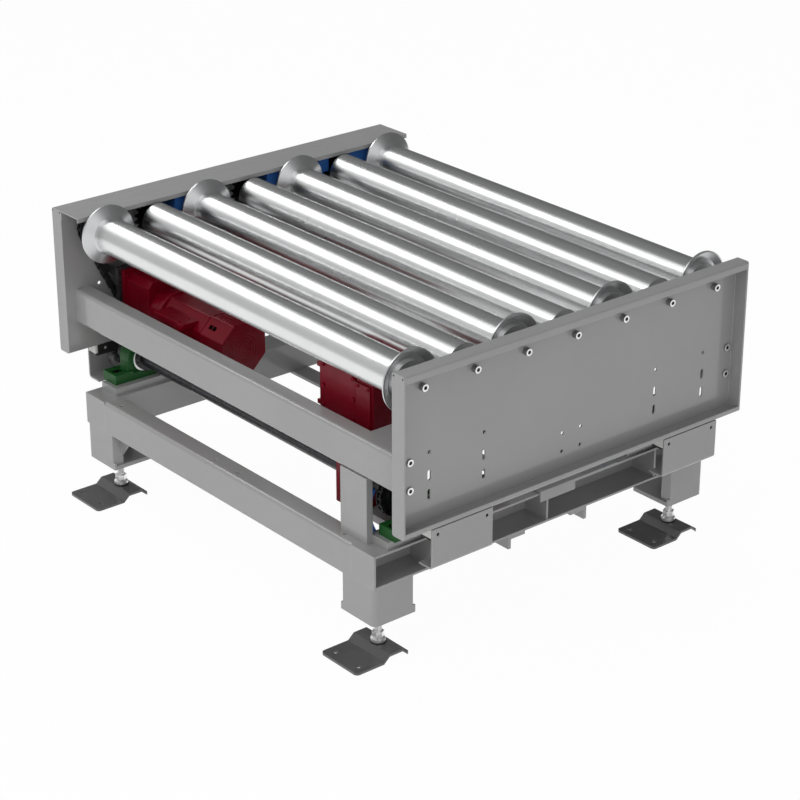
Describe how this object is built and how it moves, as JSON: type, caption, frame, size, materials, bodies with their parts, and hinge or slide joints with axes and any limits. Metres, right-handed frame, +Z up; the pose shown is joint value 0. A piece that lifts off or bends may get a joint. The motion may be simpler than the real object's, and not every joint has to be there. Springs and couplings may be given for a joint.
{
  "type": "right-angle transfer conveyor",
  "caption": "Powered roller deck with flanged rollers and chain drive on a lifting base frame with crank shafts, bearing blocks and levelling feet.",
  "frame": {"origin": "on the floor under the middle of the roller deck", "axes": "+X along the rollers towards the front side channel, +Y the conveying direction, +Z up"},
  "size_m": [1.318, 1.07, 0.7385],
  "materials": {
    "frame_paint": "grey powder coat",
    "roller_zinc": "bright zinc",
    "bare_steel": "turned steel",
    "black_steel": "oiled black steel",
    "motor_paint": "crimson paint",
    "block_paint": "green painted cast iron",
    "blue_plastic": "blue plastic",
    "black_plastic": "black sliding plastic",
    "white_plastic": "white plastic",
    "foot_plate": "dark steel plate"
  },
  "bodies": {
    "base": {"base_member_front": "frame_paint", "base_member_rear": "frame_paint", "base_beam_near": "frame_paint", "base_beam_far": "frame_paint", "leg_1": "frame_paint", "leg_2": "frame_paint", "leg_3": "frame_paint", "leg_4": "frame_paint", "lower_rails": "frame_paint", "base_fittings": "frame_paint", "pillow_blocks": "block_paint", "block_bolts": "black_steel", "lift_gearbox": "motor_paint", "lift_motor": "motor_paint", "torque_arm": "frame_paint", "lift_chain": "black_steel", "chain_guards": "blue_plastic"},
    "deck": {"side_channel_front": "frame_paint", "side_channel_rear": "frame_paint", "chain_cover": "frame_paint", "cross_beam_near": "frame_paint", "cross_beam_far": "frame_paint", "deck_screws": "bare_steel", "roller_axles": "bare_steel", "roller_bearings": "bare_steel", "transfer_chain": "black_steel", "drive_chain": "black_steel", "chain_guides": "blue_plastic", "guide_plates": "frame_paint", "slide_strips": "black_plastic", "strip_blocks": "white_plastic", "drive_gearbox": "motor_paint", "drive_motor": "motor_paint", "drive_fan_cowl": "motor_paint", "drive_terminal_box": "motor_paint", "drive_mount": "frame_paint"},
    "roller_body_1": {"roller_1": "roller_zinc", "roller_flanges_1": "roller_zinc"},
    "roller_body_2": {"roller_2": "roller_zinc"},
    "roller_body_3": {"roller_3": "roller_zinc", "roller_flanges_3": "roller_zinc"},
    "roller_body_4": {"roller_4": "roller_zinc"},
    "roller_body_5": {"roller_5": "roller_zinc", "roller_flanges_5": "roller_zinc"},
    "roller_body_6": {"roller_6": "roller_zinc"},
    "roller_body_7": {"roller_7": "roller_zinc", "roller_flanges_7": "roller_zinc"},
    "drive_output": {"drive_sprocket": "bare_steel"},
    "lift_shaft_body_near": {"lift_shaft_near": "black_steel"},
    "crank_roller_body_near": {"crank_rollers_near": "bare_steel"},
    "lift_shaft_body_far": {"lift_shaft_far": "black_steel"},
    "crank_roller_body_far": {"crank_rollers_far": "bare_steel"},
    "foot_1": {"foot_plate_1": "foot_plate", "foot_spindle_1": "bare_steel"},
    "foot_2": {"foot_plate_2": "foot_plate", "foot_spindle_2": "bare_steel"},
    "foot_3": {"foot_plate_3": "foot_plate", "foot_spindle_3": "bare_steel"},
    "foot_4": {"foot_plate_4": "foot_plate", "foot_spindle_4": "bare_steel"}
  },
  "joints": [
    {"name": "deck_lift", "type": "slide", "parent": "base", "child": "deck", "axis": [0, 0, 1], "range_m": [0, 0.086]},
    {"name": "roller_turn_1", "type": "hinge", "parent": "deck", "child": "roller_body_1", "pos_m": [0, -0.432, 0.666], "axis": [1, 0, 0], "continuous": true},
    {"name": "roller_turn_2", "type": "hinge", "parent": "deck", "child": "roller_body_2", "pos_m": [0, -0.288, 0.666], "axis": [1, 0, 0], "continuous": true},
    {"name": "roller_turn_3", "type": "hinge", "parent": "deck", "child": "roller_body_3", "pos_m": [0, -0.144, 0.666], "axis": [1, 0, 0], "continuous": true},
    {"name": "roller_turn_4", "type": "hinge", "parent": "deck", "child": "roller_body_4", "pos_m": [0, 0, 0.666], "axis": [1, 0, 0], "continuous": true},
    {"name": "roller_turn_5", "type": "hinge", "parent": "deck", "child": "roller_body_5", "pos_m": [0, 0.144, 0.666], "axis": [1, 0, 0], "continuous": true},
    {"name": "roller_turn_6", "type": "hinge", "parent": "deck", "child": "roller_body_6", "pos_m": [0, 0.288, 0.666], "axis": [1, 0, 0], "continuous": true},
    {"name": "roller_turn_7", "type": "hinge", "parent": "deck", "child": "roller_body_7", "pos_m": [0, 0.432, 0.666], "axis": [1, 0, 0], "continuous": true},
    {"name": "drive_turn", "type": "hinge", "parent": "deck", "child": "drive_output", "pos_m": [-0.598, -0.335, 0.475], "axis": [1, 0, 0], "continuous": true},
    {"name": "lift_shaft_turn_near", "type": "hinge", "parent": "base", "child": "lift_shaft_body_near", "pos_m": [0, -0.358, 0.3327], "axis": [1, 0, 0], "range_deg": [0, 180]},
    {"name": "crank_roller_turn_near", "type": "hinge", "parent": "lift_shaft_body_near", "child": "crank_roller_body_near", "pos_m": [0, -0.358, 0.2897], "axis": [1, 0, 0], "continuous": true},
    {"name": "lift_shaft_turn_far", "type": "hinge", "parent": "base", "child": "lift_shaft_body_far", "pos_m": [0, 0.358, 0.3327], "axis": [1, 0, 0], "range_deg": [0, 180]},
    {"name": "crank_roller_turn_far", "type": "hinge", "parent": "lift_shaft_body_far", "child": "crank_roller_body_far", "pos_m": [0, 0.358, 0.2897], "axis": [1, 0, 0], "continuous": true},
    {"name": "foot_adjust_1", "type": "slide", "parent": "base", "child": "foot_1", "axis": [0, 0, 1], "range_m": [-0.02, 0.02]},
    {"name": "foot_adjust_2", "type": "slide", "parent": "base", "child": "foot_2", "axis": [0, 0, 1], "range_m": [-0.02, 0.02]},
    {"name": "foot_adjust_3", "type": "slide", "parent": "base", "child": "foot_3", "axis": [0, 0, 1], "range_m": [-0.02, 0.02]},
    {"name": "foot_adjust_4", "type": "slide", "parent": "base", "child": "foot_4", "axis": [0, 0, 1], "range_m": [-0.02, 0.02]}
  ],
  "couplings": [
    {"joint": "roller_turn_2", "follows": "roller_turn_1", "ratio": 1},
    {"joint": "roller_turn_3", "follows": "roller_turn_1", "ratio": 1},
    {"joint": "roller_turn_4", "follows": "roller_turn_1", "ratio": 1},
    {"joint": "roller_turn_5", "follows": "roller_turn_1", "ratio": 1},
    {"joint": "roller_turn_6", "follows": "roller_turn_1", "ratio": 1},
    {"joint": "roller_turn_7", "follows": "roller_turn_1", "ratio": 1},
    {"joint": "drive_turn", "follows": "roller_turn_1", "ratio": 1},
    {"joint": "lift_shaft_turn_near", "follows": "deck_lift", "rad_per_m": 36.529},
    {"joint": "lift_shaft_turn_far", "follows": "deck_lift", "rad_per_m": 36.529}
  ]
}
